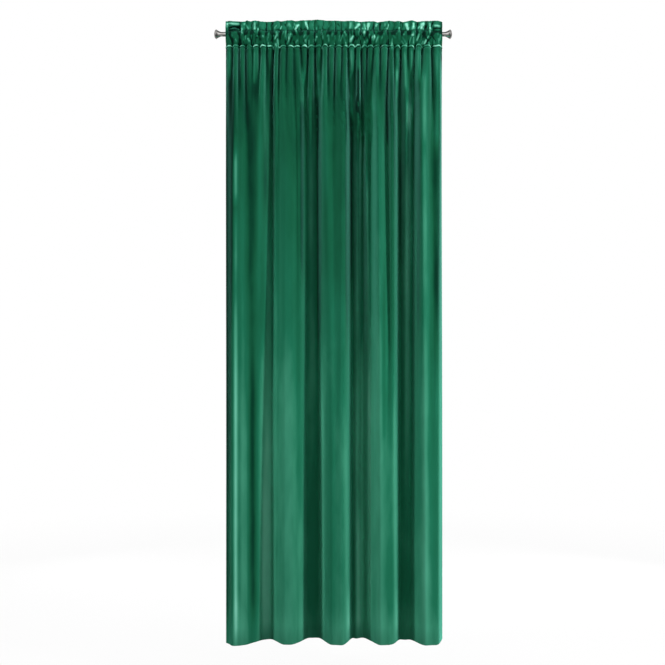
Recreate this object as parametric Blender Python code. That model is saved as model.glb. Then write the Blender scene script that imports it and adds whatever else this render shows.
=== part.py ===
"""A rod pocket curtain panel hanging in its folds on a thin tube rod with two trumpet finials."""

import math
from collections import namedtuple

import bmesh
import bpy
import numpy as np
from mathutils import Matrix

# The origin is on the rod's axis, halfway along it. +X runs along the rod, the front looks
# along -Y and +Z is up. Sizes are in metres. The tables below are in millimetres, with
# places along the hung width counted from the panel's left edge.
MM = 0.001

# The panel as it is cut, and as it hangs.
FLAT_WIDTH = 1.40
HUNG_WIDTH = 0.862
LEFT_EDGE = -0.427
CLOTH = 0.0018
DROP = 2.444
PAST_EDGE = -0.005

# The rod and its finials.
ROD_LENGTH = 0.880
ROD_RADIUS = 0.0095
ROD_WALL = 0.0012
FITTING_GAP = 0.0003
FINIAL_NECK = 0.0092
FINIAL_RIM = 0.0200
FINIAL_FLARE_START = 0.006
FINIAL_FLARE_END = 0.0285
FINIAL_DOME_RADIUS = 0.0172
FINIAL_LENGTH = 0.0365
SPIGOT_LENGTH = 0.028
FLARE_STEPS = 7
DOME_STEPS = 4
RIM_STEP = 0.0006
RIM_HEIGHT = 0.0012
FLARE_CURVE = 1.5
ROUND_STEPS = 32
SHARP_ANGLE = math.radians(40)
MERGE = 0.00001

# One row for each gather: the valley at its right side, at the frill's top edge, at the
# upper seam, at the lower seam and where the gathers end below it; then how far down the
# gather's own ridge runs.
GATHER_COLUMNS = ("frill", "upper_seam", "lower_seam", "below", "run")
GATHERS = (
    (19, 19, 27, 27, 400),
    (59, 57, 53, 51, 400),
    (81, 79, 79, 79, 400),
    (107, 103, 107, 109, 400),
    (130, 133, 135, 131, 200),
    (161, 163, 163, 159, 400),
    (187, 185, 191, 185, 400),
    (212, 215, 213, 207, 400),
    (242, 245, 243, 239, 400),
    (268, 273, 271, 271, 400),
    (302, 301, 299, 303, 400),
    (331, 325, 327, 321, 200),
    (353, 353, 355, 355, 400),
    (389, 382, 383, 379, 240),
    (411, 408, 407, 405, 400),
    (433, 434, 435, 431, 400),
    (458, 459, 463, 459, 400),
    (489, 487, 487, 483, 400),
    (511, 512, 515, 517, 200),
    (539, 538, 539, 539, 400),
    (558, 563, 563, 559, 400),
    (591, 587, 587, 583, 400),
    (613, 613, 615, 611, 200),
    (648, 641, 647, 641, 400),
    (669, 667, 671, 669, 400),
    (694, 694, 695, 695, 230),
    (733, 723, 723, 729, 260),
    (759, 757, 751, 749, 200),
    (797, 787, 781, 775, 200),
    (825, 823, 819, 823, 400),
)
GATHER_LEAN = 0.04
GATHER_DEPTH = 0.017
GATHER_LONGEST_RUN = 0.40
GATHERS_BELOW = 0.22

# One row for each ridge that lasts down to the hem: the ridge and the valley at its right
# side, where the folds begin and at the hem; then how far the ridge stands out up there.
RIDGE_COLUMNS = ("ridge", "valley", "hem_ridge", "hem_valley", "height")
RIDGES = (
    (33, 53, 30, 51, 30),
    (69, 83, 69, 105, 20),
    (140, 187, 133, 179, 40),
    (199, 217, 197, 211, 14),
    (255, 276, 255, 279, 24),
    (298, 313, 303, 325, 26),
    (339, 359, 337, 357, 16),
    (381, 431, 381, 419, 36),
    (479, 497, 487, 509, 34),
    (531, 543, 525, 547, 24),
    (563, 579, 573, 587, 20),
    (597, 639, 615, 651, 26),
    (671, 693, 677, 699, 36),
    (720, 747, 719, 735, 22),
    (790, 823, 789, 821, 38),
    (847, 870, 851, 870, 14),
)
RIDGES_LEFT_AT_HEM = 0.10

# How far below the lower seam the gathers start to fade, the lasting ridges are whole, and
# they start to flatten again.
FADE_START = 0.02
RIDGES_WHOLE = 0.24
RIDGES_FLATTEN = 0.25

# One row for each crest and floor of the broad wave at the hem: where it starts and ends,
# and how far forward it stands. The first and last rows lie past the cloth's edges.
WAVE_COLUMNS = ("start", "end", "forward")
WAVE = (
    (-30, -15, -100),
    (19, 70, 50),
    (150, 174, -39),
    (238, 258, 48),
    (339, 366, -48),
    (426, 458, 52),
    (518, 546, -56),
    (618, 646, 53),
    (702, 726, -24),
    (798, 830, 55),
    (887, 900, -105),
)
WAVE_GROWTH = 0.55

# One row for each level of the heading, from the top: its height, how far the pocket's inner
# face stands from the rod's axis plane, and the gathers' depth there over what their length
# asks for. The stitches draw the cloth tighter than that.
Level = namedtuple("Level", "height clear depth")
FRILL = (
    Level(55, 0, 1.05),
    Level(38, 0, 1.10),
    Level(21, 0, 1.00),
    Level(13, 0, 0.60),
)
POCKET = (
    Level(9.7, 6.0, 0.80),
    Level(1.0, 11.3, 1.00),
    Level(-8.5, 9.4, 1.00),
    Level(-27.0, 4.5, 1.00),
)
LOWER_SEAM_LEVEL = Level(-48, 0, 0.62)
UPPER_SEAM = FRILL[-1].height * MM
LOWER_SEAM = LOWER_SEAM_LEVEL.height * MM
POCKET_ROOF = 0.0106
POCKET_FLOOR = -0.0450

# Levels of the single cloth below the pocket, measured down from the rod's axis. Every
# second lengthwise column ends at the first level of the second row.
DROP_FINE = (57, 80, 120, 180, 270)
DROP_COARSE = (380, 550, 800, 1150, 1600, 2050, 2400, 2444)

# The share of a gather's flank that stays level at its ridge and at its valley.
FLAT_SHARE = 0.2

# The cloth's thickness is kept at its bends, up to bends of this half angle's cosine.
SHARPEST_MITRE = 0.6

# The lengths of the folds are measured on this many points, and a shape's depth is found by
# halving a range, from nothing to this many times the depth asked for.
SAMPLES = 1600
HALVINGS = 40
MOST_DRAWN = 4.0

# Colour, roughness and metallic value.
VELVET = ((0.010, 0.090, 0.045), 0.85, 0.0)
NICKEL = ((0.62, 0.61, 0.60), 0.28, 1.0)


def column(table, names, name):
    """One named column of a table, in metres."""
    place = names.index(name)
    return np.array([row[place] for row in table], dtype=float) * MM


def eased(x, stations, heights, flat=0.0):
    """Height at x on a soft curve through the stations, level for a share of each span."""
    span = np.clip(np.searchsorted(stations, x, side="right") - 1, 0, len(stations) - 2)
    start, end = stations[span], stations[span + 1]
    part = np.clip(((x - start) / (end - start) - flat) / (1 - 2 * flat), 0, 1)
    ease = (1 - np.cos(np.pi * part)) / 2
    return heights[span] + (heights[span + 1] - heights[span]) * ease


def ramp(value, low, high):
    part = np.clip((value - low) / (high - low), 0, 1)
    return part * part * (3 - 2 * part)


def gather_valleys(height):
    """The gathers' valleys at one height, between the four levels of their table."""
    levels = (LOWER_SEAM - GATHERS_BELOW, LOWER_SEAM, UPPER_SEAM, FRILL[0].height * MM)
    names = ("below", "lower_seam", "upper_seam", "frill")
    places = [column(GATHERS, GATHER_COLUMNS, name) for name in names]
    return np.array([np.interp(height, levels, row) for row in zip(*places)])


def gather_stations(height):
    """Edge, ridge, valley, ridge ... edge across the hung width at one height."""
    valleys = np.concatenate(([0.0], gather_valleys(height), [HUNG_WIDTH]))
    ridges = valleys[:-1] + np.diff(valleys) * (0.5 + GATHER_LEAN)
    stations = np.empty(len(valleys) + len(ridges))
    stations[0::2] = valleys
    stations[1::2] = ridges
    return stations


def gather_curve(x, height):
    """The gathers, 0 in a valley and 1 on a ridge, each ridge fading at its own run."""
    stations = gather_stations(height)
    heights = np.zeros(len(stations))
    runs = np.append(column(GATHERS, GATHER_COLUMNS, "run"), GATHER_LONGEST_RUN)
    heights[1::2] = 1 - ramp(LOWER_SEAM - height, FADE_START, runs)
    return eased(x, stations, heights, FLAT_SHARE)


def ridge_curve(x, share):
    """The lasting ridges, in metres. Share goes from 0 at the lower seam to 1 at the hem."""
    crest = (1 - share) * column(RIDGES, RIDGE_COLUMNS, "ridge")
    crest += share * column(RIDGES, RIDGE_COLUMNS, "hem_ridge")
    valley = (1 - share) * column(RIDGES, RIDGE_COLUMNS, "valley")
    valley += share * column(RIDGES, RIDGE_COLUMNS, "hem_valley")
    stations = np.concatenate(([PAST_EDGE], np.stack((crest, valley), 1).ravel()))
    heights = np.zeros(len(stations))
    heights[1::2] = column(RIDGES, RIDGE_COLUMNS, "height")
    return eased(x, stations, heights) - heights[1::2].mean() / 2


def wave_curve(x):
    """The broad wave that the hem shows, in metres."""
    stations = np.stack([column(WAVE, WAVE_COLUMNS, name) for name in ("start", "end")], 1)
    heights = np.repeat(column(WAVE, WAVE_COLUMNS, "forward"), 2)
    return eased(x, stations.ravel(), heights)


def length_of(x, forward):
    return np.concatenate(([0.0], np.cumsum(np.hypot(np.diff(x), np.diff(forward)))))


def drawn_to_length(x, shape):
    """The shape scaled so that its length is the cloth's flat width."""
    low, high = 0.0, MOST_DRAWN
    for _ in range(HALVINGS):
        middle = (low + high) / 2
        if length_of(x, shape * middle)[-1] < FLAT_WIDTH:
            low = middle
        else:
            high = middle
    return shape * high


def heading_ripple(height):
    """Places across the width at one height of the heading, and the gathers' depth there."""
    x = np.linspace(0, HUNG_WIDTH, SAMPLES)
    return x, drawn_to_length(x, gather_curve(x, height) * GATHER_DEPTH)


def drop_shape(height):
    """Places across the width and the cloth's forward distance, anywhere below the pocket."""
    x = np.linspace(0, HUNG_WIDTH, SAMPLES)
    fall = LOWER_SEAM - height
    whole = LOWER_SEAM + DROP
    share = fall / whole
    mean = 0.5 * (1 - ramp(fall, FADE_START, GATHER_LONGEST_RUN))
    gathers = GATHER_DEPTH * (gather_curve(x, height) - mean)
    ridges = ridge_curve(x, share) * ramp(fall, FADE_START, RIDGES_WHOLE)
    ridges *= 1 - (1 - RIDGES_LEFT_AT_HEM) * ramp(fall, RIDGES_FLATTEN, whole)
    wave = wave_curve(x) * share**WAVE_GROWTH
    return x, drawn_to_length(x, gathers + ridges + wave)


def threads():
    """Each lengthwise column of the mesh as a share of the cloth's width."""
    stations = gather_stations(LOWER_SEAM)
    spans = np.diff(stations)
    places = np.stack((stations[:-1] + FLAT_SHARE * spans, stations[1:] - FLAT_SHARE * spans), 1)
    places = places.ravel()[1:]
    places[0] = 0.0
    places[-1] = HUNG_WIDTH
    x, forward = heading_ripple(LOWER_SEAM)
    length = length_of(x, forward)
    return np.interp(places, x, length) / length[-1]


def on_threads(x, forward, shares):
    """The points of a row where the threads cross it."""
    length = length_of(x, forward)
    wanted = shares * length[-1]
    return np.interp(wanted, length, x), np.interp(wanted, length, forward)


def row_points(x, forward, height):
    return np.stack((LEFT_EDGE + x, -forward, np.full(len(x), height)), 1)


def heading_row(level, side, shares):
    """One row of the heading. Side is 1 for the pocket's front wall and -1 for its back."""
    height = level.height * MM
    x, ripple = heading_ripple(height)
    place, forward = on_threads(x, ripple, shares)
    peak = ripple.max()
    if not level.clear:
        return row_points(place, (forward - peak / 2) * level.depth, height)
    if side < 0:
        forward = forward - peak
    return row_points(place, side * level.clear * MM + forward * level.depth, height)


def drop_row(depth_below_rod, shares):
    height = -depth_below_rod * MM
    place, forward = on_threads(*drop_shape(height), shares)
    return row_points(place, forward, height)


def unit(vectors):
    return vectors / np.linalg.norm(vectors, axis=2, keepdims=True)


def offset_rows(rows, outward):
    """The rows moved outwards, each row by its own distance from the flats on both sides of
    every point. Rows go down and their points to +X."""
    grid = np.stack(rows)
    down = np.gradient(grid, axis=0)
    flats = unit(np.cross((down[:, 1:] + down[:, :-1]) / 2, np.diff(grid, axis=1)))
    left = np.concatenate((flats[:, :1], flats), axis=1)
    right = np.concatenate((flats, flats[:, -1:]), axis=1)
    normal = unit(left + right)
    mitre = np.clip((left * normal).sum(axis=2, keepdims=True), SHARPEST_MITRE, 1)
    return grid + normal / mitre * np.array(outward)[:, None, None]


def add_strip(mesh, upper, lower, front):
    """Triangles between two rows of vertices, split the same way on both sides of the cloth.
    The lower row may hold every second column."""
    for k in range(len(lower) - 1):
        if len(upper) == len(lower):
            faces = [
                [upper[k], lower[k], lower[k + 1]],
                [upper[k], lower[k + 1], upper[k + 1]],
            ]
        else:
            left, middle, right = upper[k * 2:k * 2 + 3]
            faces = [
                [left, lower[k], middle],
                [middle, lower[k], lower[k + 1]],
                [middle, lower[k + 1], right],
            ]
        for face in faces:
            mesh.faces.new(face if front else face[::-1])


def curtain_rows(shares):
    """Points of the cloth's front and back faces from the frill to the hem, of the pocket's
    two inner faces, and of the seam lines that close the pocket."""
    frill = [heading_row(level, 1, shares) for level in FRILL]
    walls = [[heading_row(level, side, shares) for level in POCKET] for side in (1, -1)]
    seam = heading_row(LOWER_SEAM_LEVEL, 1, shares)
    fine = [drop_row(depth, shares) for depth in DROP_FINE]
    coarse = [drop_row(depth, shares) for depth in DROP_COARSE]
    faces = []
    for side, wall in zip((1, -1), walls):
        chain = frill + wall + [seam] + fine + coarse
        away = [CLOTH] * (len(frill) + len(wall) + 1) + [CLOTH / 2] * len(fine + coarse)
        away = [side * distance for distance in away]
        all_threads = list(offset_rows(chain, away))
        half_threads = list(offset_rows([row[::2] for row in chain], away))
        faces.append(all_threads[:-len(coarse)] + half_threads[-len(coarse):])
    roof, floor = frill[-1].copy(), seam.copy()
    roof[:, 2] = POCKET_ROOF
    floor[:, 2] = POCKET_FLOOR
    inner = [[roof] + wall + [floor] for wall in walls]
    return faces, inner


def cut_edge_cells(front, back, inner):
    """Rows round each cell of the cloth's cut edge, all turning the same way."""
    upper_seam = len(FRILL) - 1
    lower_seam = len(FRILL) + len(POCKET)
    cells = []
    for k in range(len(front) - 1):
        if k < upper_seam or k >= lower_seam:
            cells.append([front[k], front[k + 1], back[k + 1], back[k]])
    cells.append([front[upper_seam], inner[0][0], back[upper_seam]])
    cells.append([inner[0][-1], front[lower_seam], back[lower_seam]])
    for k in range(len(POCKET) + 1):
        above, below = upper_seam + k, upper_seam + k + 1
        cells.append([front[above], front[below], inner[0][k + 1], inner[0][k]])
        cells.append([inner[1][k], inner[1][k + 1], back[below], back[above]])
    return cells


def make_curtain():
    """The cloth: one sheet sewn double into a frill over a rod pocket, and single below."""
    faces, pocket = curtain_rows(threads())
    mesh = bmesh.new()
    front, back = [[[mesh.verts.new(p) for p in row] for row in rows] for rows in faces]
    roof, *front_wall, floor = [[mesh.verts.new(p) for p in row] for row in pocket[0]]
    back_wall = [[mesh.verts.new(p) for p in row] for row in pocket[1][1:-1]]
    inner = ([roof] + front_wall + [floor], [roof] + back_wall + [floor])
    for rows, outward in ((front, True), (back, False), (inner[0], False), (inner[1], True)):
        for above, below in zip(rows, rows[1:]):
            add_strip(mesh, above, below, outward)
    add_strip(mesh, back[0], front[0], True)
    add_strip(mesh, front[-1], back[-1], True)
    for cell in cut_edge_cells(front, back, inner):
        mesh.faces.new([row[0] for row in reversed(cell)])
        mesh.faces.new([row[-1] for row in cell])
    return finished("curtain", mesh, VELVET)


def finished(name, mesh, look):
    """The bmesh as a smooth shaded object with its own material."""
    data = bpy.data.meshes.new(name)
    mesh.to_mesh(data)
    mesh.free()
    item = bpy.data.objects.new(name, data)
    bpy.context.scene.collection.objects.link(item)
    colour, roughness, metallic = look
    material = bpy.data.materials.new(name)
    material.use_nodes = True
    shader = material.node_tree.nodes["Principled BSDF"]
    shader.inputs["Base Color"].default_value = (*colour, 1.0)
    shader.inputs["Roughness"].default_value = roughness
    shader.inputs["Metallic"].default_value = metallic
    data.materials.append(material)
    data.shade_smooth()
    data.set_sharp_from_angle(angle=SHARP_ANGLE)
    return item


def turned(name, profile, look, closed=False):
    """A solid of revolution about its own Z axis, from a profile of radius and height."""
    mesh = bmesh.new()
    points = [mesh.verts.new((radius, 0.0, height)) for radius, height in profile]
    pairs = list(zip(points, points[1:]))
    if closed:
        pairs.append((points[-1], points[0]))
    edges = [mesh.edges.new(pair) for pair in pairs]
    bmesh.ops.spin(
        mesh,
        geom=points + edges,
        cent=(0.0, 0.0, 0.0),
        axis=(0.0, 0.0, 1.0),
        angle=math.tau,
        steps=ROUND_STEPS,
        use_merge=True,
    )
    bmesh.ops.remove_doubles(mesh, verts=mesh.verts, dist=MERGE)
    bmesh.ops.recalc_face_normals(mesh, faces=mesh.faces)
    return finished(name, mesh, look)


def make_rod():
    """The tube that carries the panel."""
    half = ROD_LENGTH / 2
    bore = ROD_RADIUS - ROD_WALL
    profile = ((ROD_RADIUS, half), (ROD_RADIUS, -half), (bore, -half), (bore, half))
    rod = turned("rod", profile, NICKEL, closed=True)
    rod.data.transform(Matrix.Rotation(math.pi / 2, 4, "Y"))
    return rod


def finial_profile():
    """Dome, rim, trumpet flare, neck and spigot, from the tip down. Height 0 is the rod's end."""
    dome_base = FINIAL_FLARE_END + RIM_STEP
    rise = FINIAL_LENGTH - dome_base
    profile = [(0.0, FINIAL_LENGTH)]
    for step in range(1, DOME_STEPS + 1):
        angle = math.pi / 2 * step / DOME_STEPS
        radius = FINIAL_DOME_RADIUS * math.sin(angle)
        profile.append((radius, dome_base + rise * math.cos(angle)))
    profile.append((FINIAL_RIM - RIM_STEP, FINIAL_FLARE_END))
    run = FINIAL_FLARE_END - RIM_HEIGHT - FINIAL_FLARE_START
    for step in range(FLARE_STEPS + 1):
        share = 1 - step / FLARE_STEPS
        radius = FINIAL_NECK + (FINIAL_RIM - FINIAL_NECK) * share**FLARE_CURVE
        profile.append((radius, FINIAL_FLARE_START + run * share))
    spigot = ROD_RADIUS - ROD_WALL - FITTING_GAP
    profile.append((FINIAL_NECK, FITTING_GAP))
    profile.append((spigot, FITTING_GAP))
    profile.append((spigot, -SPIGOT_LENGTH))
    profile.append((0.0, -SPIGOT_LENGTH))
    return profile


def make_finial(name, side):
    """A trumpet finial pushed into one end of the rod. Side is -1 at the left, 1 at the right."""
    finial = turned(name, finial_profile(), NICKEL)
    finial.location = (side * ROD_LENGTH / 2, 0.0, 0.0)
    finial.rotation_euler = (0.0, side * math.pi / 2, 0.0)
    return finial


def main():
    for item in list(bpy.data.objects):
        bpy.data.objects.remove(item, do_unlink=True)
    make_curtain()
    make_rod()
    make_finial("finial_left", -1)
    make_finial("finial_right", 1)


main()
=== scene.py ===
import math

import bpy
import numpy as np
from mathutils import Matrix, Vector, noise


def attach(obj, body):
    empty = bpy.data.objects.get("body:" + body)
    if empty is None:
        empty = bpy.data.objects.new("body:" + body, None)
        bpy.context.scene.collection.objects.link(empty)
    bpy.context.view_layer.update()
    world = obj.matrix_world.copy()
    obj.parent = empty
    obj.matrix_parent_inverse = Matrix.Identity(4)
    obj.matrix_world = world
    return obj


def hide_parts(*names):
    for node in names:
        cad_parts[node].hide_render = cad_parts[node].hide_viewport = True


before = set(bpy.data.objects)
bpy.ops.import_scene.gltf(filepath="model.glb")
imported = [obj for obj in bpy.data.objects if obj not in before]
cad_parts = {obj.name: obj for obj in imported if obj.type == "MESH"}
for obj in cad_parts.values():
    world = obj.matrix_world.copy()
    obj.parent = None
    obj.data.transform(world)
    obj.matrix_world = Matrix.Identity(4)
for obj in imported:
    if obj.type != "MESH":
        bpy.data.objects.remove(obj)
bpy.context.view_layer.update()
scene = bpy.context.scene
scene.view_settings.view_transform = "Standard"
mm = 0.001

# The camera stands level, square to the panel
camera = {
    "distance": 4.6,  # from the rod's plane
    "height": -1.2005,
    "aside": -0.0024,
    "widthSeen": 2.677,  # at the rod's plane
    "sensor": 36.0,
}


# A new object in the scene
def linked(name, data):
    item = bpy.data.objects.new(name, data)
    scene.collection.objects.link(item)
    return item


def makeCamera():
    data = bpy.data.cameras.new("camera")
    data.sensor_width = camera["sensor"]
    data.lens = camera["sensor"] * camera["distance"] / camera["widthSeen"]
    eye = linked("camera", data)
    eye.location = (camera["aside"], -camera["distance"], camera["height"])
    eye.rotation_euler = (math.pi / 2, 0, 0)
    scene.camera = eye


makeCamera()
print("camera ready")


# Any node, and sums on values: Wire(tree).node(...), mask * 0.5 + 1
class Wire:
    def __init__(self, tree, socket=None):
        self.tree = tree
        self.socket = socket

    # Settings first, then the sockets' values or links, by name or place
    def node(self, kind, settings, values, output=0):
        made = self.tree.nodes.new(kind)
        for name, value in settings.items():
            if name == "stops":
                while len(made.color_ramp.elements) < len(value):
                    made.color_ramp.elements.new(0.5)
                for stop, (place, shade) in zip(made.color_ramp.elements, value):
                    stop.position = place
                    stop.color = shade
            else:
                setattr(made, name, value)
        for name, value in values.items():
            if isinstance(value, Wire):
                self.tree.links.new(value.socket, made.inputs[name])
            else:
                made.inputs[name].default_value = value
        return Wire(self.tree, made.outputs[output] if made.outputs else None)

    def maths(self, operation, first, second=0.0):
        settings = {"operation": operation}
        return self.node("ShaderNodeMath", settings, {0: first, 1: second})

    def __add__(self, other):
        return self.maths("ADD", self, other)

    def __radd__(self, other):
        return self.maths("ADD", other, self)

    def __sub__(self, other):
        return self.maths("SUBTRACT", self, other)

    def __rsub__(self, other):
        return self.maths("SUBTRACT", other, self)

    def __mul__(self, other):
        return self.maths("MULTIPLY", self, other)

    def __rmul__(self, other):
        return self.maths("MULTIPLY", other, self)

    def blended(self, low, high):
        settings = {"data_type": "RGBA"}
        values = {0: self, 6: low, 7: high}
        return self.node("ShaderNodeMix", settings, values, 2)


def newMaterial(name, values):
    material = bpy.data.materials.new(name)
    material.use_nodes = True
    shader = material.node_tree.nodes["Principled BSDF"]
    for label, value in values.items():
        shader.inputs[label].default_value = value
    return material, Wire(material.node_tree), shader


def plug(wire, shader, name):
    wire.tree.links.new(wire.socket, shader.inputs[name])


# From start to end, softly, while a value goes from low to high
def smoothStep(wire, value, low, high, start, end):
    settings = {"interpolation_type": "SMOOTHSTEP"}
    values = {0: value, 1: low, 2: high, 3: start, 4: end}
    return wire.node("ShaderNodeMapRange", settings, values)


# Cloudy patches at a place, their look being their scale and their detail
def clouds(wire, place, look):
    scale, detail = look
    values = {"Vector": place, "Scale": scale, "Detail": detail}
    return wire.node("ShaderNodeTexNoise", {}, values)


def triangles(item):
    return sum(len(face.vertices) - 2 for face in item.data.polygons)


# The named columns of a table that is in millimetres, in metres
def table(names, rows):
    return {name: np.array(values, dtype=float) * mm for name, values in zip(names, zip(*rows))}


# The cloth as it is cut, and as it hangs. Its whole sizes are in metres. All else is in
# millimetres, places across from its left edge, seen from the front, and heights from the
# rod's axis. A fade is from one height to another. A hump is how much, at what height, and how
# far it reaches.
panel = {
    "flatWidth": 1.40,
    "flatLength": 2.62,
    "hungWidth": 0.862,
    "leftEdge": -0.4315,
    "drop": 2.443,
    "cloth": 0.0018,
    "spread": 1.0095,  # makes up for the heading's place nearer to the camera
    "sideways": (3.5, 200, 1800),  # the drop's edges hang to the right: how much, and its fade
    "leftMargin": (0.03, 0.13),  # where that starts and ends across the cloth, in metres
    "rightMargin": (0.78, 0.86),
    "rodRadius": 9.5,  # the cloth comes no nearer to the rod's axis
    "rodRoom": 1.4,
    "threads": 401,
    "samples": 2400,
    "deepest": 4.0,  # the most that folds are deepened for their length
    "drawRounds": 36,
    "frillTop": 55,
    "frillMiddle": 34,
    "upperSeam": 13,
    "pocketMiddle": -18,
    "tunnelSeam": -40,  # the upper one of the two lower seams
    "welt": -46,
    "dropTop": -48,
    "weltSeam": -52,
    "plainBelow": -64,
    "pliesJoin": (-75, -52),  # below it one cloth has both faces
    "gatherFlat": 0.04,  # share of a flank that stays level at its ridge and its valley
    "gatherLean": (0.02, 0.14),  # how far the crests lean to the right, at the left and right sides
    "headingLean": 0.27,  # and either way by chance, in the heading
    "headingFade": (-46, -30),
    "gatherSwell": 0.66,  # below 1, the crests are broad and the valleys narrow
    "headingSwell": 0.95,
    "gatherUneven": (0.72, 1.22),
    "valleyUneven": 0.26,
    "seed": 11,
    "wander": (6, 5),  # how far the gathers stray between the seams and in the frill
    "gatherDepth": 17,
    "gatherRun": 400,
    "gathersBelow": 220,
    "fadeStart": 20,
    "ridgesWhole": 240,
    "ridgesFlatten": 250,
    "waveGrowth": 0.55,
    "pastEdge": -5,
    "sideHem": 16,
    "hemHeight": 70,
    "hemPly": 1.3,
    "hemEdge": 2,
    "scallop": (10, -46, 11),  # humps: the lower seams run higher over the ridges
    "scallopMiddle": 0.75,
    "scallopUneven": (0.8, 2.6),
    "archSize": 37,
    "seamSway": (3.5, 13, 10),
    "weltDrop": (3.5, -46, 14),
    "topNotch": -2.5,  # how much lower the top edge runs in the valleys
    "crumpleHead": 3.2,
    "crumpleDrop": 0.7,
    "crumpleFade": (-130, -60),
    "crumpleSize": (11, 26),  # across and down
    "crumpleFiner": 2.1,
    "seamHold": (0.7, 13, 5),  # humps: the seams smooth the crumples
    "weltHold": (0.6, -46, 9),
    "topRise": 2.0,
    "hemRise": 1.2,
    "foldSteps": 4,
    "stitchProud": 0.05,
    "tunnelStep": 3,  # rows of the tunnels' walls are this much sparser than the faces'
    "tunnelRoom": 1.5,  # from a seam to the tunnel's end
    "tunnelEdge": 0.5,
}
dropLength = panel["drop"] + panel["dropTop"] * mm

# Heights of the rows, close together where the cloth is sewn: runs of top, foot and count, and
# then the drop's own, further apart towards the foot
rowPlan = {
    "runs": (
        (55, 17, 11),
        (16, 8, 9),
        (6.5, -35, 15),
        (-37, -57, 15),
        (-60, -90, 6),
        (-98, -260, 13),
    ),
    "dropRows": 33,
    "dropGrowth": 1.15,
    "hemRows": (1, -0.6),  # two rows make the step of the back hem's edge
    "hemRoom": 6,  # and the others stay this far from it
}

# One row for each gather: the valley at its right side, at the frill's top edge, at the upper
# seam, at the lower seam and where the gathers end, then how far down its ridge runs
gathers = table(("frill", "upperSeam", "lowerSeam", "below", "run"), (
    (6, 9, 27, 27, 400),
    (59, 57, 53, 51, 400),
    (81, 79, 79, 79, 400),
    (107, 103, 107, 109, 400),
    (130, 133, 135, 131, 200),
    (161, 163, 163, 159, 400),
    (187, 185, 191, 185, 400),
    (212, 215, 213, 207, 400),
    (242, 245, 243, 239, 400),
    (268, 273, 271, 271, 400),
    (302, 301, 299, 303, 400),
    (331, 325, 327, 321, 200),
    (353, 353, 355, 355, 400),
    (389, 382, 383, 379, 240),
    (411, 408, 407, 405, 400),
    (433, 434, 435, 431, 400),
    (458, 459, 463, 459, 400),
    (489, 487, 487, 483, 400),
    (511, 512, 515, 517, 200),
    (539, 538, 539, 539, 400),
    (558, 563, 563, 559, 400),
    (591, 587, 587, 583, 400),
    (613, 613, 615, 611, 200),
    (648, 641, 647, 641, 400),
    (669, 667, 671, 669, 400),
    (694, 694, 695, 695, 230),
    (733, 723, 723, 729, 260),
    (759, 757, 751, 749, 200),
    (797, 787, 781, 775, 200),
    (825, 823, 819, 823, 400),
))

# One row for each lasting ridge: the ridge and the valley at its right side, up where the
# folds begin and at the hem, then how far the ridge stands out up there and at the hem
ridges = table(("ridge", "valley", "hemRidge", "hemValley", "height", "hemHeight"), (
    (36, 84, 37, 96, 22, 16),
    (138, 185, 130, 179, 40, 14),
    (199, 217, 197, 211, 9, 2),
    (255, 278, 255, 279, 6, 2),
    (296, 314, 299, 325, 14, 4),
    (336, 362, 336, 358, 14, 2),
    (388, 431, 384, 419, 27, 4),
    (472, 496, 482, 504, 20, 8),
    (527, 545, 520, 545, 23, 12),
    (560, 576, 570, 587, 20, 5),
    (604, 640, 613, 651, 28, 4),
    (662, 692, 672, 694, 26, 8),
    (722, 750, 716, 738, 28, 5),
    (776, 826, 779, 825, 36, 8),
    (852, 868, 855, 870, 8, 2),
))

# One row for each crest and floor of the broad wave at the hem: start, end, forward
wave = table(("start", "end", "forward"), (
    (-40, 2, 26),
    (30, 76, 50),
    (150, 174, -28),
    (238, 258, 48),
    (339, 366, -48),
    (426, 458, 52),
    (514, 546, -48),
    (618, 646, 53),
    (702, 726, -24),
    (798, 830, 55),
    (882, 900, -70),
))

# One row for each level of the heading: height, how far the inner faces stand from the middle,
# whether the cloth has parted to pass round the rod, the gathers' depth there over what their
# length asks for, and how far forward the heading stands. Seams draw the cloth tight.
levels = table(("height", "clear", "parted", "depth", "out"), (
    (55, 0.5, 0, 0.36, 5),
    (51, 1.0, 0, 0.38, 6),
    (44, 0.8, 0, 0.40, 7),
    (34, 0.5, 0, 0.42, 8),
    (24, 0.4, 0, 0.44, 9),
    (17, 0.3, 0, 0.47, 10.5),
    (13, 0.0, 0, 0.50, 11),
    (11, 1.2, 0.1, 0.50, 10),
    (9, 3.6, 0.4, 0.48, 7.5),
    (6, 7.4, 0.8, 0.44, 3.5),
    (1, 10.2, 1, 0.38, 0),
    (-9, 9.4, 1, 0.28, 0),
    (-20, 6.6, 1, 0.28, 0),
    (-30, 3.4, 0.8, 0.36, 0),
    (-36, 1.6, 0.4, 0.50, 0),
    (-40, 0.0, 0, 0.60, 0),
    (-46, 0.2, 0, 0.74, 1),
    (-52, 0.2, 0, 0.86, 0.5),
    (-57, 0.2, 0, 0.97, 1),
    (-64, 0.2, 0, 1.02, 1),
    (-80, 0.2, 0, 1.00, 0),
))

# How much thicker the cloth stands at the seams, from its pile and turnings, and how far the
# stitches sink in
puffs = table(("height", "puff"), (
    (18, 0),
    (15, 0),
    (13, -0.15),
    (11, 0),
    (7, 0),
    (-35, 0),
    (-38, 0.2),
    (-40, -0.9),
    (-42.5, 0.4),
    (-45, 1.9),
    (-47.5, 1.2),
    (-50, 0.1),
    (-52, -0.3),
    (-55, 0),
    (-66, 0),
))

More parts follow.
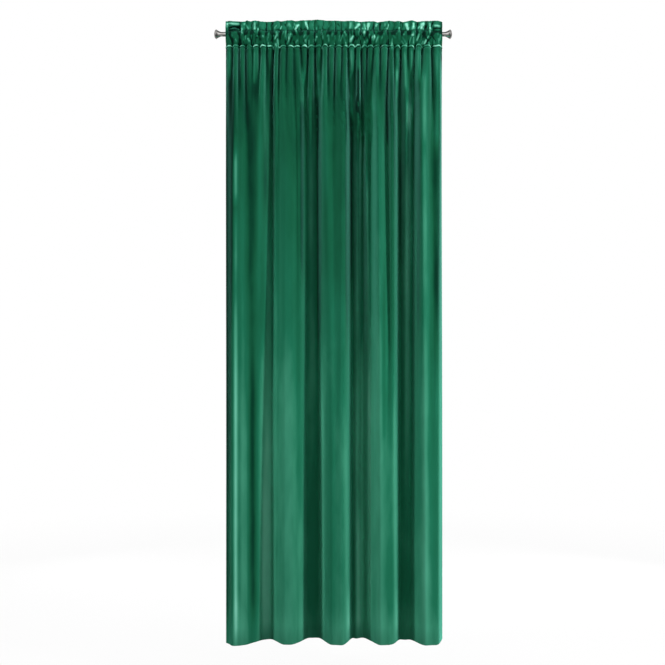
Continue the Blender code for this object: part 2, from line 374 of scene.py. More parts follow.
# The frill's top edge
topEdge = table(("across", "height"), (
    (0, 47),
    (16, 49),
    (62, 46),
    (78, 47),
    (84, 51),
    (98, 47),
    (116, 51),
    (140, 47),
    (163, 45),
    (190, 46),
    (204, 50),
    (222, 47),
    (244, 51),
    (262, 52),
    (278, 48),
    (300, 51),
    (340, 52),
    (362, 54),
    (383, 53),
    (400, 50),
    (440, 50),
    (470, 48),
    (500, 50),
    (520, 47),
    (535, 45),
    (560, 47),
    (590, 48),
    (604, 43),
    (622, 46),
    (650, 50),
    (672, 47),
    (690, 49),
    (704, 44),
    (724, 48),
    (742, 52),
    (762, 45),
    (786, 48),
    (812, 49),
    (845, 50),
    (862, 45),
))

# Small folds and hollows of the heading: from and to, each across and height, how wide, how far
# they stand out, and their painted tone: painted highlights on the folds and painted shade in the
# hollows
creases = (
    (2, 44, 56, 43, 4.5, 5, 2.0),  # the rolled end of the frill
    (4, 42, 4, 24, 6, 3, 1.3),
    (18, 24, 30, 31, 6, -8, -3.0),
    (30, 31, 56, 28, 9, -11, -4.4),
    (57, 32, 58, 14, 4.5, -6, -2.6),
    (12, 17, 44, 15, 4, 2, -1.4),
    (64, 41, 64, 2, 3.5, 4, 1.0),
    (64, 4, 66, -1, 4, 2, 1.6),
    (8, 9, 56, 9, 4, -3, -1.5),
    (10, 4, 32, -38, 5, -4, -1.0),
    (24, -2, 32, -20, 3, 2, 0.6),
    (54, 6, 53, -38, 3.5, -4, -1.2),
    (77, 47, 72, 40, 4, 3, 1.2),  # folds that run down to the upper seam
    (80, 38, 92, 14, 3.5, 3, 1.2),
    (116, 47, 115, 14, 4, 3, 1.2),
    (163, 46, 162, -8, 3.5, -5, -2.0),
    (225, 36, 217, 15, 3, 4, 2.2),
    (274, 46, 276, 34, 3, 2, 1.2),
    (291, 38, 286, 31, 5, 4, 1.6),
    (286, 31, 276, 15, 3.4, 4.5, 2.4),
    (317, 50, 328, 15, 3.2, 4.5, 2.6),
    (497, 48, 495, 18, 4, 2, 0.8),
    (534, 44, 524, 38, 7, 3, 1.6),
    (530, 40, 515, 17, 4, 4, 2.0),
    (541, 46, 540, 16, 4, -4, -1.2),
    (569, 48, 566, 30, 8, 4, 2.2),
    (567, 34, 565, 12, 4.5, 4.5, 2.4),
    (590, 46, 590, 16, 3.5, -4, -1.2),
    (614, 46, 614, 18, 4.5, -4, -1.5),
    (634, 44, 631, 30, 4, 3, 0.8),
    (649, 42, 642, 17, 4, 4, 1.8),
    (718, 46, 720, 34, 7, 4, 1.8),
    (720, 36, 724, 14, 4.5, 4.5, 2.2),
    (748, 48, 748, 14, 4, 3, 1.8),
    (762, 46, 762, 20, 4, -4, -1.2),
    (784, 47, 782, 34, 10, 4, 1.6),
    (782, 38, 779, 16, 5, 4.5, 2.2),
    (800, 32, 797, 14, 5, -4, -1.5),
    (812, 48, 812, 0, 4, 3.5, 1.4),
    (819, 46, 818, 16, 3.5, -3, -1.2),
    (87, -18, 95, -32, 4, 3, 1.4),  # puffs and folds over the rod
    (123, -8, 124, -14, 4.5, 3.5, 1.4),
    (147, -9, 150, -16, 4.5, 3.5, 1.4),
    (204, -6, 196, -22, 3.5, 3, 0.8),
    (232, 8, 226, -6, 4.5, 3, 1.0),
    (259, 0, 248, -34, 4, 4, 1.4),
    (266, -4, 256, -36, 4, -3, -0.8),
    (287, -25, 278, -36, 4, 3, 0.9),
    (317, -7, 310, -18, 4.5, 3, 1.0),
    (363, -12, 357, -30, 4.5, 3.5, 1.4),
    (426, 0, 422, -12, 4.5, 3, 0.8),
    (508, -9, 494, -34, 5, 4.5, 1.8),
    (517, -12, 503, -38, 4, -4, -1.2),
    (550, 5, 552, -2, 5, 3, 1.2),
    (585, 0, 569, -38, 4, -4, -1.3),
    (577, 2, 561, -34, 4, 3, 0.6),
    (604, 2, 612, -4, 5, -3, -1.2),
    (607, -12, 598, -34, 4, 3.5, 1.2),
    (630, 0, 620, -22, 4, 3, 1.0),
    (679, 1, 680, -5, 5, 3, 1.0),
    (707, -1, 710, -8, 5, 3, 1.2),
    (743, -3, 743, -10, 5, 3.5, 1.6),
    (738, -14, 730, -38, 4, 3, 0.9),
    (772, 0, 759, -30, 4, 4, 1.5),
    (787, 1, 788, -8, 8, -2, -3.4),
    (810, -10, 788, -40, 4.5, 4.5, 1.8),
    (816, -14, 794, -42, 4, -4, -1.2),
    (828, 33, 853, 31, 5, 5, 1.8),  # the right end
    (826, 22, 856, 21, 4, -3, -1.2),
    (822, 6, 858, 5, 6, -4, -1.6),
    (856, -3, 850, -28, 4, 3, 1.0),
)

# Painted highlights where the welt between the lower seams catches the light: from, to, tone
weltGlints = (
    (2, 18, 1.8),
    (30, 36, 1.2),
    (54, 60, 1.2),
    (83, 89, 1.4),
    (110, 116, 1.6),
    (139, 158, 1.4),
    (211, 224, 2.2),
    (262, 281, 2.2),
    (314, 334, 2.4),
    (380, 388, 1.6),
    (411, 419, 1.4),
    (458, 466, 1.6),
    (505, 522, 2.0),
    (528, 536, 1.4),
    (584, 592, 1.6),
    (612, 618, 1.4),
    (643, 651, 1.8),
    (687, 696, 1.6),
    (741, 749, 1.8),
    (779, 785, 1.2),
    (809, 818, 1.8),
    (834, 858, 2.2),
)


# Shorter creases that gathering leaves in the heading, by chance
pinch = {
    "count": 200,
    "heights": (-36, 52),
    "lean": 6,
    "run": (10, 32),
    "out": (1.5, 4),
    "wide": (2.4, 3.8),
    "tone": 0.34,  # painted highlight for each millimetre that they stand out, painted shade where they sink in
}


def makePinches():
    chance = np.random.default_rng(panel["seed"])
    width = round(panel["hungWidth"] / mm)
    made = []
    for _ in range(pinch["count"]):
        x, z = chance.uniform(0, width), chance.uniform(*pinch["heights"])
        lean, run = chance.normal(0, pinch["lean"]), chance.uniform(*pinch["run"])
        out = chance.choice((-1, 1)) * chance.uniform(*pinch["out"])
        wide = chance.uniform(*pinch["wide"])
        made.append((x, z, x + lean, z - run, wide, out, pinch["tone"] * out))
    return tuple(made)


folds = creases + makePinches()

# Tones painted on the pile, pale above 0 and dark below, most of them painted highlights and painted
# shade: how much and its fade, or a hump
tones = {
    "plain": 0.15,
    "foot": (0.35, 2250, 2400),  # down from the rod
    "drop": (0.5, -1500, -300),  # the drop's upper part is darker
    # painted light on the heading
    "heading": (0.25, -60, -30),
    "gathers": (0.9, -400, -80),  # painted highlight on the ridges and painted shade in the valleys
    "gathersLess": (0.75, -60, -30),  # in the heading
    "gathersMiddle": 0.25,
    "pits": (1, 3, 6.5),  # a hump: painted shade in the pits below the upper seam
    "pitsDeep": 7,
    "pitsRest": 0.15,
    "pitsSharp": 2.5,
    "pocket": (0.2, -24, 12),  # a hump: painted light in the pocket's shadowed valleys
    "frill": (0.7, 12, 20),  # painted shade in its valleys
    "crease": 1.12,
    "creaseSharp": 2.5,
    "creaseSlim": 0.74,  # a crease's painted tone is narrower than its form
    "glintWide": 2.6,
    "weltGlow": (1.7, -46, 2.2),  # humps: painted highlight on the welt and painted shade under it
    "weltShade": (1.1, -51.5, 2.2),
    "weltUneven": (0.6, 2.2, 14),  # least, growth and the patches' size
    # painted shade inside the tunnels
    "tunnel": -1.5,
}
# the welt's painted highlights, as strokes
welt, wide = panel["welt"], tones["glintWide"]
glints = [(x, welt, toX, welt, wide, tone) for x, toX, tone in weltGlints]

# How strokes of painted tone fade in at their ends, as shares of their length, slowly down on the
# drop
strokeFade = {
    "drop": (-2300, -550),
    "slow": (-0.05, 0.35),
    "quick": (-0.08, 0.15),
}

# Strokes of painted light along the folds: pale strokes are painted highlights and dark strokes
# painted
# shade: from and to, each across and height, how wide, and the tone
nap = (
    (12, -60, 12, -240, 9, 0.55),
    (29, -60, 28, -280, 5, -0.7),
    (24, -210, 22, -600, 9, -0.5),
    (8, -170, 8, -1860, 16, -1.3),
    (8, -1300, 8, -2440, 16, -0.8),
    (12, -190, 12, -1200, 16, -1.1),
    (42, -460, 42, -700, 8, 1.2),
    (42, -700, 42, -1000, 8, 0.7),
    (41, -860, 41, -2440, 8, 1.35),
    (44, -2200, 44, -2440, 10, 0.5),
    (68, -420, 70, -2440, 12, 0.3),
    (66, -1960, 66, -2440, 14, 0.3),
    (66, -1340, 66, -2060, 14, 0.3),
    (102, -350, 102, -1180, 17, -0.4),
    (106, -970, 109, -2440, 16, -0.8),
    (83, -1350, 84, -2440, 9, 0.35),
    (146, -800, 146, -1300, 14, -0.5),
    (148, -1700, 148, -2440, 9, 0.4),
    (86, -290, 90, -400, 12, -0.35),
    (140, -100, 132, -1310, 8, 0.4),
    (157, -500, 157, -1490, 8, -0.2),
    (200, -660, 200, -1680, 8, 0.25),
    (182, -120, 184, -500, 8, -0.3),
    (162, -620, 162, -1580, 22, 0.7),
    (162, -1300, 162, -2440, 26, 1.2),
    (215, -150, 225, -1080, 30, 0.25),
    (255, -1190, 250, -2440, 60, 0.5),
    (304, -200, 304, -1080, 7, -0.7),
    (310, -130, 306, -300, 10, 0.8),
    (238, -880, 240, -1700, 24, 0.2),
    (292, -1100, 292, -2000, 16, -0.22),
    (300, -1900, 303, -2440, 12, 0.2),
    (352, -150, 355, -2440, 14, -0.1),
    (345, -300, 345, -1840, 20, 0.5),
    (335, -400, 335, -950, 16, 0.3),
    (368, -150, 366, -250, 8, 0.8),
    (368, -240, 368, -1520, 12, -0.4),
    (372, -280, 373, -1400, 7, -1.2),
    (392, -150, 392, -760, 16, 0.35),
    (383, -1190, 385, -2440, 12, 0.8),
    (420, -950, 424, -1750, 44, 0.22),
    (455, -1410, 460, -2440, 30, 0.2),
    (487, -110, 487, -420, 6, -1.3),
    (485, -400, 483, -1390, 7, -1.0),
    (672, -150, 672, -760, 5, -0.6),
    (474, -1410, 487, -2440, 9, 0.4),
    (487, -2250, 489, -2440, 8, 0.8),
    (678, -2250, 680, -2440, 8, 0.5),
    (499, -60, 499, -150, 8, 0.8),
    (500, -150, 502, -330, 9, 0.9),
    (498, -300, 499, -1170, 11, -0.8),
    (527, -140, 527, -330, 6, -1.2),
    (520, -420, 522, -1390, 12, 0.8),
    (562, -540, 562, -1320, 9, 0.8),
    (522, -1230, 522, -2070, 14, 0.9),
    (526, -1850, 528, -2440, 12, 1.2),
    (548, -1080, 548, -2440, 14, 0.7),
    (571, -1080, 572, -2440, 8, 1.3),
    (598, -150, 592, -330, 12, 0.6),
    (600, -250, 610, -2440, 34, 0.5),
    (616, -2070, 616, -2440, 30, 0.15),
    (645, -180, 645, -420, 7, -1.3),
    (640, -900, 640, -1440, 9, 0.25),
    (628, -820, 628, -1780, 8, -0.5),
    (668, -1190, 677, -2440, 9, 0.6),
    (656, -900, 658, -1700, 14, -0.3),
    (681, -140, 680, -260, 7, 0.9),
    (722, -150, 724, -1960, 13, 0.8),
    (722, -550, 722, -1150, 14, 0.4),
    (745, -150, 745, -330, 8, 0.8),
    (732, -270, 732, -390, 10, 1.2),
    (698, -480, 698, -1000, 9, -0.35),
    (745, -560, 745, -1040, 12, 0.4),
    (700, -1450, 704, -2200, 40, 0.2),
    (752, -1960, 756, -2440, 22, 0.2),
    (768, -300, 766, -1400, 8, -0.6),
    (759, -290, 759, -330, 12, -0.5),
    (757, -200, 757, -1850, 11, -0.3),
    (786, -150, 789, -420, 12, 0.6),
    (788, -60, 789, -1090, 16, 0.6),
    (787, -450, 787, -1060, 10, 0.2),
    (812, -940, 812, -1660, 8, -0.25),
    (788, -860, 789, -2440, 14, 0.6),
    (802, -1850, 802, -2440, 20, 0.2),
    (838, -60, 838, -460, 13, 0.7),
    (836, -420, 836, -1200, 13, -0.25),
    (858, -60, 858, -1090, 11, -0.6),
    (858, -640, 858, -1560, 13, -0.8),
    (856, -1200, 856, -2440, 15, -0.15),
    (834, -780, 834, -1380, 16, -0.5),
    (114, -60, 114, -200, 5, 0.9),
    (602, -60, 602, -170, 6, 0.6),
    (682, -60, 682, -190, 5, 0.8),
    (713, -60, 716, -230, 6, 0.8),
    (740, -60, 742, -150, 5, 0.8),
    (766, -60, 766, -190, 6, 0.6),
    (0, 11, 862, 11, 3.5, -0.9),
    (0, 36, 862, 36, 22, 0.4),
    (0, -18, 862, -18, 20, -0.28),
)


# Height at x on a soft curve through the stations, level for a share of each span
def eased(x, stations, heights, flat=0.0):
    span = np.clip(np.searchsorted(stations, x, side="right") - 1, 0, len(stations) - 2)
    start = stations[span]
    end = stations[span + 1]
    part = np.clip(((x - start) / (end - start) - flat) / (1 - 2 * flat), 0, 1)
    ease = (1 - np.cos(np.pi * part)) / 2
    return heights[span] + (heights[span + 1] - heights[span]) * ease


# From 0 at low to 1 at high, softly
def ramp(value, low, high):
    part = np.clip((value - low) / (high - low), 0, 1)
    return part * part * (3 - 2 * part)


# The same between the two heights of a fade, which are in millimetres
def between(height, fade):
    return ramp(height, fade[0] * mm, fade[1] * mm)


# What a look with a fade comes to at one height
def faded(height, look):
    return look[0] * between(height, look[1:])


# What a look with a soft hump comes to at one height
def humped(height, look):
    top, middle, reach = look
    return top * math.exp(-(((height - middle * mm) / (reach * mm)) ** 2))


# Soft unevenness along a row, about -1 to 1. Each use has a line or a layer of its own.
def unevenness(places, line, layer):
    return np.array([noise.noise(Vector((place, line, layer))) for place in places])


# A smooth curve through a column of a table that goes down in height, level past its ends
def smoothly(height, rows, name):
    z = rows["height"][::-1]
    height = min(max(height, z[0]), z[-1])
    values = rows[name][::-1]
    slopes = np.gradient(values, z)
    k = int(np.clip(np.searchsorted(z, height, side="right") - 1, 0, len(z) - 2))
    wide = z[k + 1] - z[k]
    t = (height - z[k]) / wide
    ends = (2 * t**3 - 3 * t**2 + 1) * values[k] + (3 * t**2 - 2 * t**3) * values[k + 1]
    bends = (t**3 - 2 * t**2 + t) * slopes[k] + (t**3 - t**2) * slopes[k + 1]
    return ends + bends * wide


# Places of the gathers at one height, a valley and a ridge in turn
def gatherStations(height):
    names = ("below", "lowerSeam", "upperSeam", "frill")
    below, low, high, frill = [gathers[name] for name in names]
    chance = np.random.default_rng(panel["seed"] + 1)
    pocket, top = [chance.uniform(-reach, reach, len(low)) * mm for reach in panel["wander"]]
    lower = panel["dropTop"] * mm
    names = ("pocketMiddle", "upperSeam", "frillMiddle", "frillTop")
    heights = [lower - panel["gathersBelow"] * mm, lower, *[panel[name] * mm for name in names]]
    rows = zip(below, low, (low + high) / 2 + pocket, high, (high + frill) / 2 + top, frill)
    valleys = np.array([0, *[np.interp(height, heights, row) for row in rows], panel["hungWidth"]])
    lean = np.interp(valleys[:-1], (0, panel["hungWidth"]), panel["gatherLean"])
    reach = panel["headingLean"] * between(height, panel["headingFade"])
    lean = lean + chance.uniform(-reach, reach, len(lean))
    crests = valleys[:-1] + np.diff(valleys) * (0.5 + lean)
    stations = np.empty(len(valleys) + len(crests))
    stations[0::2] = valleys
    stations[1::2] = crests
    return stations


# The gathers, 0 in a valley and 1 on a ridge, each ridge fading at its own run
def gatherCurve(x, height):
    stations = gatherStations(height)
    chance = np.random.default_rng(panel["seed"])
    heights = chance.uniform(0, panel["valleyUneven"], len(stations))
    runs = np.append(gathers["run"], panel["gatherRun"] * mm)
    heights[1::2] = chance.uniform(*panel["gatherUneven"], len(runs))
    fading = 1 - ramp(panel["dropTop"] * mm - height, panel["fadeStart"] * mm, runs)
    heights[1::2] *= fading
    heights[0] *= fading[0]
    heights[2::2] *= fading
    curve = eased(x, stations, heights, panel["gatherFlat"])
    fuller = panel["headingSwell"] - panel["gatherSwell"]
    swell = panel["gatherSwell"] + fuller * between(height, panel["headingFade"])
    return np.clip(curve, 0, None) ** swell


# The lasting ridges, so far below the drop's top and at this share of the drop
def ridgeCurve(x, fall, share):
    def drift(name, hemName, part):
        return ridges[name] + part * (ridges[hemName] - ridges[name])

    whole = between(fall, (panel["fadeStart"], panel["ridgesWhole"]))
    flatter = ramp(fall, panel["ridgesFlatten"] * mm, dropLength)
    height = drift("height", "hemHeight", flatter)
    stations = np.stack((drift("ridge", "hemRidge", share), drift("valley", "hemValley", share)), 1)
    stations = np.concatenate(([panel["pastEdge"] * mm], stations.ravel()))
    heights = np.zeros(len(stations))
    heights[1::2] = height * whole
    return eased(x, stations, heights) - heights[1::2].mean() / 2


def waveCurve(x):
    stations = np.stack((wave["start"], wave["end"]), 1)
    heights = np.repeat(wave["forward"], 2)
    return eased(x, stations.ravel(), heights)


def lengthOf(x, forward):
    return np.concatenate(([0.0], np.cumsum(np.hypot(np.diff(x), np.diff(forward)))))


# The shape scaled so that its length is the cloth's flat width
def drawnToLength(x, shape):
    low = 0.0
    high = panel["deepest"]
    for _ in range(panel["drawRounds"]):
        middle = (low + high) / 2
        if lengthOf(x, shape * middle)[-1] < panel["flatWidth"]:
            low = middle
        else:
            high = middle
    return shape * high


# Place across and forward distance of every thread at one height, and the gathers' height
# there. The threads part the cloth's width evenly.
def threadsAt(height):
    x = np.linspace(0, panel["hungWidth"], panel["samples"])
    gathered = gatherCurve(x, height)
    fall = max(panel["dropTop"] * mm - height, 0.0)
    mean = 0.5 * (1 - between(fall, (panel["fadeStart"], panel["gatherRun"])))
    shape = panel["gatherDepth"] * mm * (gathered - mean)
    if fall > 0:
        share = fall / dropLength
        shape = shape + ridgeCurve(x, fall, share)
        shape = shape + waveCurve(x) * share ** panel["waveGrowth"]
    shape = drawnToLength(x, shape)
    length = lengthOf(x, shape)
    wanted = np.linspace(0, length[-1], panel["threads"])
    return [np.interp(wanted, length, row) for row in (x, shape, gathered)]


# How a stroke fades towards its end, which is at this height
def strokeEnd(share, z):
    low, high = strokeFade["drop"]
    return ramp(share, *strokeFade["slow" if low < z < high else "quick"])


# Sum of soft strokes at places on the panel, each from a point to a point and fading at its
# ends. A row's last values are strengths, and which says the one that is wanted.
def strokes(rows, place, height, which=5, sharp=2, slim=1.0):
    total = np.zeros(len(place))
    for row in rows:
        x, z, toX, toZ, wide = row[:5]
        acrossStroke = place / mm - x
        downStroke = height / mm - z
        run, fall = toX - x, toZ - z
        along = np.clip((acrossStroke * run + downStroke * fall) / (run**2 + fall**2), 0, 1)
        apart = np.hypot(acrossStroke - along * run, downStroke - along * fall)
        ends = strokeEnd(along, z) * strokeEnd(1 - along, toZ)
        total += row[which] * ends * np.exp(-((apart / (wide * slim)) ** sharp))
    return total


# Small uneven folds of a cloth that was gathered by hand, smoothed at the seams
def crumple(height):
    wide, tall = panel["crumpleSize"]
    finer = panel["crumpleFiner"]
    across = np.linspace(0, panel["flatWidth"] / mm / wide, panel["threads"])
    down = height / mm / tall
    values = unevenness(across, down, 0) + 0.5 * unevenness(across * finer, down * finer, 7)
    head = between(height, panel["crumpleFade"])
    loose = 1 - humped(height, panel["seamHold"]) - humped(height, panel["weltHold"])
    size = panel["crumpleDrop"] + head * (panel["crumpleHead"] - panel["crumpleDrop"])
    return values * size * loose * mm


def rowHeights():
    rows = [z for top, low, count in rowPlan["runs"] for z in np.linspace(top, low, count)]
    start = rowPlan["runs"][-1][1]
    shares = np.linspace(0, 1, rowPlan["dropRows"])[1:] ** rowPlan["dropGrowth"]
    rows += list(start - (panel["drop"] / mm + start) * shares)
    hem = -(panel["drop"] / mm - panel["hemHeight"])
    rows = [z for z in rows if abs(z - hem) > rowPlan["hemRoom"]]
    rows += [hem + step for step in rowPlan["hemRows"]]
    return [z * mm for z in sorted(rows, reverse=True)]


# How the plies stand at one height: the gathers' depth, how far the plies have parted, how far
# each is from their middle, and how far forward they stand
def standing(height):
    names = ("depth", "parted", "clear", "out")
    depth, parted, clear, out = [smoothly(height, levels, name) for name in names]
    if height < panel["plainBelow"] * mm:
        return 1.0, 0.0, 0.0, out
    return depth / mm, min(max(parted / mm, 0.0), 1.0), max(clear, 0.0), out


# Heights of a row's points: its seams sway and scallop, and the frill's top edge is uneven
def rowPoints(height, place, gathered):
    ridge = np.minimum(gathered, 1)
    rough = unevenness(place / mm / panel["archSize"], 3, 1)
    least, growth = panel["scallopUneven"]
    arches = (ridge - panel["scallopMiddle"]) * (least + growth * rough)
    z = height + mm * humped(height, panel["scallop"]) * arches
    seam = panel["upperSeam"] * mm
    if height > seam:
        edge = np.interp(place, topEdge["across"], topEdge["height"])
        edge = edge - panel["topNotch"] * mm * (1 - ridge)
        tall = (panel["frillTop"] - panel["upperSeam"]) * mm
        z = seam + (height - seam) * (edge - seam) / tall
    z = z - mm * humped(height, panel["weltDrop"])
    return z + mm * humped(height, panel["seamSway"]) * rough


# The tone of the whole cloth at one height: paler at the foot, darker up the drop, and painted light
# on the heading
def heightTone(height):
    foot = faded(-height, tones["foot"])
    return tones["plain"] + foot - faded(height, tones["drop"]) + faded(height, tones["heading"])


# The painted light along a row: painted highlights and painted shade from strokes and creases,
# gathers, pits, frill and welt
def paintedLightAlong(height, place, gathered):
    valley = 1 - np.minimum(gathered, 1)
    form = (tones["creaseSharp"], tones["creaseSlim"])
    paintedTone = strokes(nap, place, height) + tones["crease"] * strokes(folds, place, height, 6, *form)
    paintedTone = paintedTone + strokes(glints, place, height) + heightTone(height)
    drop = faded(height, tones["gathers"]) * (1 - faded(height, tones["gathersLess"]))
    paintedTone = paintedTone + (tones["gathersMiddle"] - valley) * drop
    pits = tones["pitsDeep"] * valley ** tones["pitsSharp"] - tones["pitsRest"]
    paintedTone = paintedTone - pits * humped(height, tones["pits"])
    paintedTone = paintedTone + valley * humped(height, tones["pocket"])
    paintedTone = paintedTone - valley**2 * faded(height, tones["frill"])
    least, growth, size = tones["weltUneven"]
    glow = least + growth * unevenness(place / mm / size, 5, 2)
    return paintedTone + glow * (humped(height, tones["weltGlow"]) - humped(height, tones["weltShade"]))


# The middle lines of the front and the back ply at one height, and the painted light there
def plies(height):
    place, shape, gathered = threadsAt(height)
    depth, parted, clear, out = standing(height)
    apart = parted * (shape.max() - shape.min()) * depth / 2
    shape = shape * depth + out + crumple(height)
    small = strokes(folds, place, height) * mm
    front = shape + apart + clear + small
    back = shape - apart - clear + small * (1 - parted)
    if abs(height) < panel["rodRadius"] * mm:
        rod = math.sqrt((panel["rodRadius"] * mm) ** 2 - height**2) + panel["rodRoom"] * mm
        front, back = np.maximum(front, rod), np.minimum(back, -rod)
    margins = ramp(place, *panel["rightMargin"]) + 1 - ramp(place, *panel["leftMargin"])
    aside = mm * faded(-height, panel["sideways"]) * margins
    x = panel["leftEdge"] + place * panel["spread"] + aside
    z = rowPoints(height, place, gathered)
    lines = [np.stack((x, -forward, z), 1) for forward in (front, back)]
    return lines + [paintedLightAlong(height, place, gathered)]


def unit(vectors):
    return vectors / np.linalg.norm(vectors, axis=2, keepdims=True)


# Outward directions of a grid whose rows go down and whose points go to the right
def outward(grid):
    across = np.gradient(grid, axis=1)
    down = np.gradient(grid, axis=0)
    return unit(np.cross(down, across))


# Rows that close two edges over with a round fold
def foldRows(front, back, rise):
    middle = (front + back) / 2
    steps = panel["foldSteps"]
    turns = [math.pi * k / steps for k in range(1, steps)]
    up = np.array((0, 0, rise * mm))
    return [middle + (front - middle) * math.cos(a) + up * math.sin(a) for a in turns]


# How far the turned back hems thicken the cloth's back face
def hemThickness(rows):
    share = np.linspace(0, 1, panel["threads"])
    fromEdge = np.minimum(share, 1 - share) * panel["flatWidth"]
    hem, edge = panel["sideHem"], panel["hemEdge"]
    side = 1 - between(fromEdge, (hem - edge, hem + edge))
    foot = np.array([1.0 if z < -(panel["drop"] - panel["hemHeight"] * mm) else 0.0 for z in rows])
    return np.maximum(side[None, :], foot[:, None]) * panel["hemPly"] * mm


class Cloth:
    def __init__(self):
        self.points = []
        self.flat = []
        self.nap = []
        self.faces = []
        self.count = 0

    # A row of points, each with its place on the flat cloth and its painted light, as point numbers
    def row(self, points, down, paintedTone=None):
        width = len(points)
        self.points.append(points)
        self.nap.append(np.zeros(width) if paintedTone is None else paintedTone)
        across = np.linspace(0, panel["flatWidth"], width)
        self.flat.append(np.stack((across, np.full(width, down)), 1))
        self.count += width
        return np.arange(self.count - width, self.count)

    # Faces between all rows that follow each other
    def skin(self, rows, outside):
        for upper, lower in zip(rows, rows[1:]):
            quads = np.stack((lower[:-1], lower[1:], upper[1:], upper[:-1]), 1)
            self.faces += (quads if outside else quads[:, ::-1]).tolist()

    # The cloth's cut edge, from the rows that go round it
    def ends(self, loop):
        self.faces.append([int(row[0]) for row in reversed(loop)])
        self.faces.append([int(row[-1]) for row in loop])

    def mesh(self, name):
        data = bpy.data.meshes.new(name)
        data.from_pydata(np.concatenate(self.points).tolist(), [], self.faces)
        flat = np.concatenate(self.flat)
        corners = np.empty(len(data.loops), dtype=np.int32)
        data.loops.foreach_get("vertex_index", corners)
        data.uv_layers.new(name="flat").data.foreach_set("uv", flat[corners].ravel())
        # each point's painted light
        paintedTone = data.attributes.new("nap", "FLOAT", "POINT")
        paintedTone.data.foreach_set("value", np.concatenate(self.nap).astype(np.float32))
        data.validate()
        return data


def nearestRow(heights, wanted):
    return min(range(len(heights)), key=lambda k: abs(heights[k] - wanted * mm))


# The outer faces of both plies, thicker at the stitches and on the back at the hems
def outerFaces(inner, heights):
    puff = np.array([smoothly(z, puffs, "puff") for z in heights])
    joined = np.array([between(z, panel["pliesJoin"]) for z in heights])
    thick = panel["cloth"] * (0.5 + 0.5 * joined) + puff
    front = inner[0] + outward(inner[0]) * thick[:, None, None]
    back = thick[:, None] + hemThickness(heights)
    return front, inner[1] - outward(inner[1]) * back[:, :, None]


seamLines = []  # one line of points for each row of stitches on each face


def markSeams(inner, faces, heights):
    proud = panel["stitchProud"] * mm
    for seam in ("upperSeam", "tunnelSeam", "weltSeam"):
        k = nearestRow(heights, panel[seam])
        for side, out in ((0, proud), (1, -proud)):
            seamLines.append(faces[side][k] + outward(inner[side])[k] * out)


# The walls of one tunnel between the plies, and the cut edges of the cloth beside it
def tunnelWalls(cloth, heights, inner, outer, first, last, roof, floor):
    kept = sorted({*range(first, last + 1, panel["tunnelStep"]), last})
    # The tunnels' inner walls take painted shade
    dark = np.full(panel["threads"], tones["tunnel"])
    for side in (0, 1):
        chain = [roof] + [cloth.row(inner[side][k], -heights[k], dark) for k in kept] + [floor]
        cloth.skin(chain, side == 1)
        marks = [first - 1] + kept + [last + 1]
        for k in range(len(chain) - 1):
            loop = outer[side][marks[k]:marks[k + 1] + 1] + [chain[k + 1], chain[k]]
            cloth.ends(loop if side == 0 else loop[::-1])


# The frill's tunnel, the rod's tunnel below it, and the cut edges at their seams
def makeTunnels(cloth, heights, inner, outer, top):
    front, rear = outer
    middle = (inner[0] + inner[1]) / 2
    seam, low = [nearestRow(heights, panel[name]) for name in ("upperSeam", "tunnelSeam")]
    edge, room = [np.array((0, 0, panel[name] * mm)) for name in ("tunnelEdge", "tunnelRoom")]
    tunnels = (
        (1, seam - 1, middle[0] - edge, middle[seam] + room),
        (seam + 1, low - 1, middle[seam] - room, middle[low] + room),
    )
    floors = []
    for first, last, roofPoints, floorPoints in tunnels:
        roof = cloth.row(roofPoints, -heights[first])
        floors.append(cloth.row(floorPoints, -heights[last]))
        tunnelWalls(cloth, heights, inner, outer, first, last, roof, floors[-1])
        if first == 1:
            cloth.ends([front[0], roof, rear[0]] + top[::-1])
        else:
            cloth.ends([front[seam], roof, rear[seam], floors[0]])
    cloth.ends([floors[-1], front[low], rear[low]])
    return low


def makePanel():
    heights = rowHeights()
    rows = [plies(z) for z in heights]
    inner = [np.stack([row[side] for row in rows]) for side in (0, 1)]
    faces = outerFaces(inner, heights)
    markSeams(inner, faces, heights)
    cloth = Cloth()
    front = [cloth.row(points, -z, row[2]) for points, z, row in zip(faces[0], heights, rows)]
    rear = [cloth.row(points, -z) for points, z in zip(faces[1], heights)]
    folded = foldRows(faces[0][0], faces[1][0], panel["topRise"])
    top = [cloth.row(points, -heights[0]) for points in folded]
    folded = foldRows(faces[0][-1], faces[1][-1], -panel["hemRise"])
    foot = [cloth.row(points, -heights[-1]) for points in folded]
    cloth.skin(front, True)
    cloth.skin(rear, False)
    cloth.skin([front[0]] + top + [rear[0]], False)
    cloth.skin([front[-1]] + foot + [rear[-1]], True)
    low = makeTunnels(cloth, heights, inner, (front, rear), top)
    for k in range(low, len(heights) - 1):
        cloth.ends([front[k], front[k + 1], rear[k + 1], rear[k]])
    cloth.ends([front[-1]] + foot + [rear[-1]])
    data = cloth.mesh("velvetPanel")
    data.shade_smooth()
    return linked("velvetPanel", data)


velvetLook = {
    # base colours along the tone, from the darkest painted shade to the palest painted highlight
    "stops": (
        (0.0, (0.0004, 0.015, 0.008, 1)),
        (0.1, (0.0009, 0.045, 0.021, 1)),
        (0.2, (0.0065, 0.104, 0.047, 1)),
        (0.4, (0.013, 0.170, 0.090, 1)),
        (0.667, (0.085, 0.415, 0.265, 1)),
        (1.0, (0.30, 0.82, 0.62, 1)),
    ),
    "shader": {
        "Roughness": 0.75,
        "Specular IOR Level": 0.15,
        "Sheen Weight": 1.0,
        "Sheen Roughness": 0.40,
        "Sheen Tint": (0.22, 1.0, 0.72, 1),
    },
    "crush": (26, 4),
    "patches": (7, 2),
    "drawnOut": 0.22,  # crush and patches run down the cloth
    "pile": (900, 2),
    "shares": (0.25, 0.25, 0.2, 0.5),  # of crush, patches, pile and the painted light
    "plain": 0.1,
    "contrast": 0.667,
    "bump": 0.25,
    "bumpDepth": 0.0008,
}


